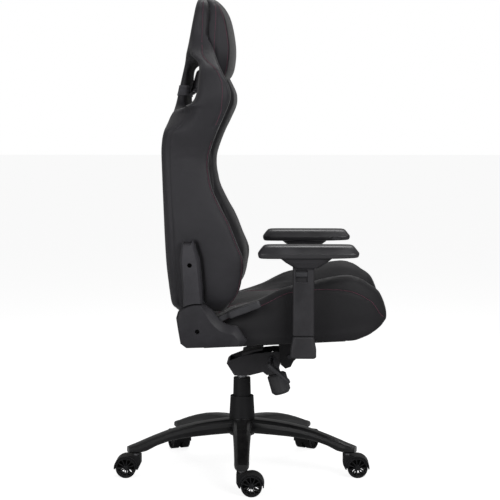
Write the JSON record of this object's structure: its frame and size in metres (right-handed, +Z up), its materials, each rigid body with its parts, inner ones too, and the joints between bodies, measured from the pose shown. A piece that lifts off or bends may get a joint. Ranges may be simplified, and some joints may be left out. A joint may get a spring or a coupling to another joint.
{
  "type": "racing-style swivel chair",
  "caption": "Bucket-style swivel seat with reclining back, shoulder slots, head pillow and adjustable armrests on a castor base.",
  "frame": {"origin": "on the floor, under the middle of the chair's plan; the swivel axis is 18.5 mm behind it", "axes": "+X the way the chair faces, +Y its left, +Z up"},
  "size_m": [0.7628, 0.744, 1.355],
  "materials": {
    "upholstery": "matte dark grey stitched cover",
    "strap": "woven elastic",
    "base_paint": "satin black paint",
    "steel_black": "matte black paint",
    "mechanism_grey": "dark grey paint",
    "bright_steel": "zinc-plated",
    "chrome_rod": "polished",
    "cover_plastic": "dark grey fine-grained plastic",
    "black_plastic": "black fine-grained plastic",
    "castor_plastic": "black moulded nylon",
    "wheel_plastic": "black polyurethane-tyred nylon",
    "pad_plastic": "soft-touch black polyurethane"
  },
  "bodies": {
    "base": {"star_base": "base_paint", "castor_stems": "bright_steel", "gas_column": "steel_black", "cover_lower": "black_plastic"},
    "castor_1": {"castor_hood_1": "castor_plastic"},
    "wheels_1": {"castor_wheels_1": "wheel_plastic"},
    "castor_2": {"castor_hood_2": "castor_plastic"},
    "wheels_2": {"castor_wheels_2": "wheel_plastic"},
    "castor_3": {"castor_hood_3": "castor_plastic"},
    "wheels_3": {"castor_wheels_3": "wheel_plastic"},
    "castor_4": {"castor_hood_4": "castor_plastic"},
    "wheels_4": {"castor_wheels_4": "wheel_plastic"},
    "castor_5": {"castor_hood_5": "castor_plastic"},
    "wheels_5": {"castor_wheels_5": "wheel_plastic"},
    "spindle": {"piston_rod": "chrome_rod", "retaining_clip": "bright_steel"},
    "mechanism": {"gas_spring": "chrome_rod", "cover_upper": "black_plastic", "mechanism_housing": "mechanism_grey", "tilt_pin": "bright_steel", "tension_bolt": "bright_steel"},
    "cover_mid": {"cover_middle": "black_plastic"},
    "knob": {"tension_knob": "black_plastic"},
    "lever_lock": {"lever_bush": "black_plastic"},
    "lever": {"height_lever": "black_plastic"},
    "seat": {"seat_plate": "steel_black", "seat_board": "steel_black", "seat_bolts": "bright_steel", "seat_cushion": "upholstery", "seat_bolster_right": "upholstery", "seat_bolster_left": "upholstery", "recliner_plates": "steel_black", "recliner_cover_right": "cover_plastic", "recliner_cover_left": "cover_plastic", "arm_bracket_right": "steel_black", "arm_bracket_left": "steel_black", "arm_collar_right": "black_plastic", "arm_collar_left": "black_plastic"},
    "recline_lever": {"cross_rod": "bright_steel", "recline_lever": "black_plastic"},
    "back": {"back_arms": "steel_black", "back_bracket_right": "cover_plastic", "back_bracket_left": "cover_plastic", "back_cushion": "upholstery", "back_wing_right": "upholstery", "back_wing_left": "upholstery", "head_pillow": "upholstery", "pillow_strap": "strap"},
    "arm_right": {"arm_post_right": "black_plastic"},
    "latch_right": {"arm_button_right": "black_plastic"},
    "pad_slide_right": {"arm_slider_right": "black_plastic"},
    "pad_turn_right": {"arm_rotor_right": "black_plastic"},
    "pad_right": {"arm_pad_right": "pad_plastic"},
    "pad_catch_right": {"pad_button_right": "black_plastic"},
    "arm_left": {"arm_post_left": "black_plastic"},
    "latch_left": {"arm_button_left": "black_plastic"},
    "pad_slide_left": {"arm_slider_left": "black_plastic"},
    "pad_turn_left": {"arm_rotor_left": "black_plastic"},
    "pad_left": {"arm_pad_left": "pad_plastic"},
    "pad_catch_left": {"pad_button_left": "black_plastic"}
  },
  "joints": [
    {"name": "castor_swivel_1", "type": "hinge", "parent": "base", "child": "castor_1", "pos_m": [-0.00857, -0.31584, 0.062], "axis": [0, 0, 1], "continuous": true},
    {"name": "wheel_roll_1", "type": "hinge", "parent": "castor_1", "child": "wheels_1", "pos_m": [0.01843, -0.31584, 0.0285], "axis": [0, 1, 0], "continuous": true},
    {"name": "castor_swivel_2", "type": "hinge", "parent": "base", "child": "castor_2", "pos_m": [0.28495, -0.08816, 0.062], "axis": [0, 0, 1], "continuous": true},
    {"name": "wheel_roll_2", "type": "hinge", "parent": "castor_2", "child": "wheels_2", "pos_m": [0.31195, -0.08816, 0.0285], "axis": [0, 1, 0], "continuous": true},
    {"name": "castor_swivel_3", "type": "hinge", "parent": "base", "child": "castor_3", "pos_m": [0.15912, 0.26136, 0.062], "axis": [0, 0, 1], "continuous": true},
    {"name": "wheel_roll_3", "type": "hinge", "parent": "castor_3", "child": "wheels_3", "pos_m": [0.17262, 0.28474, 0.0285], "axis": [-0.866, 0.5, 0], "continuous": true},
    {"name": "castor_swivel_4", "type": "hinge", "parent": "base", "child": "castor_4", "pos_m": [-0.21218, 0.24969, 0.062], "axis": [0, 0, 1], "continuous": true},
    {"name": "wheel_roll_4", "type": "hinge", "parent": "castor_4", "child": "wheels_4", "pos_m": [-0.22359, 0.27416, 0.0285], "axis": [-0.9063, -0.4226, 0], "continuous": true},
    {"name": "castor_swivel_5", "type": "hinge", "parent": "base", "child": "castor_5", "pos_m": [-0.31582, -0.10704, 0.062], "axis": [0, 0, 1], "continuous": true},
    {"name": "wheel_roll_5", "type": "hinge", "parent": "castor_5", "child": "wheels_5", "pos_m": [-0.34282, -0.10704, 0.0285], "axis": [0, -1, 0], "continuous": true},
    {"name": "seat_swivel", "type": "hinge", "parent": "base", "child": "spindle", "pos_m": [-0.0185, 0, 0.104], "axis": [0, 0, 1], "continuous": true},
    {"name": "seat_lift", "type": "slide", "parent": "spindle", "child": "mechanism", "axis": [0, 0, 1], "range_m": [0, 0.07]},
    {"name": "cover_rise", "type": "slide", "parent": "base", "child": "cover_mid", "axis": [0, 0, 1], "range_m": [0, 0.0518]},
    {"name": "tension_turn", "type": "hinge", "parent": "mechanism", "child": "knob", "pos_m": [0.0805, 0, 0.279], "axis": [-0.2756, 0, 0.9613], "continuous": true},
    {"name": "tilt_lock", "type": "slide", "parent": "mechanism", "child": "lever_lock", "axis": [0, -1, 0], "range_m": [0, 0.01]},
    {"name": "height_lift", "type": "hinge", "parent": "lever_lock", "child": "lever", "pos_m": [0.0695, -0.06, 0.33], "axis": [0, -1, 0], "range_deg": [0, 12], "stiffness_Nm_per_rad": 3, "springref_deg": -5.73},
    {"name": "seat_tilt", "type": "hinge", "parent": "mechanism", "child": "seat", "pos_m": [0.1195, 0, 0.337], "axis": [0, -1, 0], "range_deg": [0, 12], "stiffness_Nm_per_rad": 250, "springref_deg": -20.05},
    {"name": "recline_release", "type": "hinge", "parent": "seat", "child": "recline_lever", "pos_m": [-0.1285, 0, 0.44], "axis": [0, -1, 0], "range_deg": [0, 16], "stiffness_Nm_per_rad": 4, "springref_deg": -11.46},
    {"name": "back_recline", "type": "hinge", "parent": "seat", "child": "back", "pos_m": [-0.1285, 0, 0.44], "axis": [0, -1, 0], "range_deg": [0, 60]},
    {"name": "arm_height_right", "type": "slide", "parent": "seat", "child": "arm_right", "axis": [0, 0, 1], "range_m": [0, 0.07]},
    {"name": "arm_latch_right", "type": "slide", "parent": "arm_right", "child": "latch_right", "axis": [0, 0, 1], "range_m": [0, 0.004], "stiffness_N_per_m": 300, "springref_m": -0.003},
    {"name": "pad_sideways_right", "type": "slide", "parent": "arm_right", "child": "pad_slide_right", "axis": [0, 1, 0], "range_m": [-0.012, 0.012]},
    {"name": "pad_turn_right", "type": "hinge", "parent": "pad_slide_right", "child": "pad_turn_right", "pos_m": [0.1635, -0.325, 0.621], "axis": [0, 0, 1], "range_deg": [-20, 20]},
    {"name": "pad_forward_right", "type": "slide", "parent": "pad_turn_right", "child": "pad_right", "axis": [1, 0, 0], "range_m": [-0.02, 0.02]},
    {"name": "pad_catch_right", "type": "slide", "parent": "pad_right", "child": "pad_catch_right", "axis": [0, -1, 0], "range_m": [0, 0.002], "stiffness_N_per_m": 400, "springref_m": -0.002},
    {"name": "arm_height_left", "type": "slide", "parent": "seat", "child": "arm_left", "axis": [0, 0, 1], "range_m": [0, 0.07]},
    {"name": "arm_latch_left", "type": "slide", "parent": "arm_left", "child": "latch_left", "axis": [0, 0, 1], "range_m": [0, 0.004], "stiffness_N_per_m": 300, "springref_m": -0.003},
    {"name": "pad_sideways_left", "type": "slide", "parent": "arm_left", "child": "pad_slide_left", "axis": [0, 1, 0], "range_m": [-0.012, 0.012]},
    {"name": "pad_turn_left", "type": "hinge", "parent": "pad_slide_left", "child": "pad_turn_left", "pos_m": [0.1635, 0.325, 0.621], "axis": [0, 0, 1], "range_deg": [-20, 20]},
    {"name": "pad_forward_left", "type": "slide", "parent": "pad_turn_left", "child": "pad_left", "axis": [1, 0, 0], "range_m": [-0.02, 0.02]},
    {"name": "pad_catch_left", "type": "slide", "parent": "pad_left", "child": "pad_catch_left", "axis": [0, 1, 0], "range_m": [0, 0.002], "stiffness_N_per_m": 400, "springref_m": -0.002}
  ],
  "couplings": [
    {"joint": "cover_rise", "follows": "seat_lift", "ratio": 0.74}
  ]
}
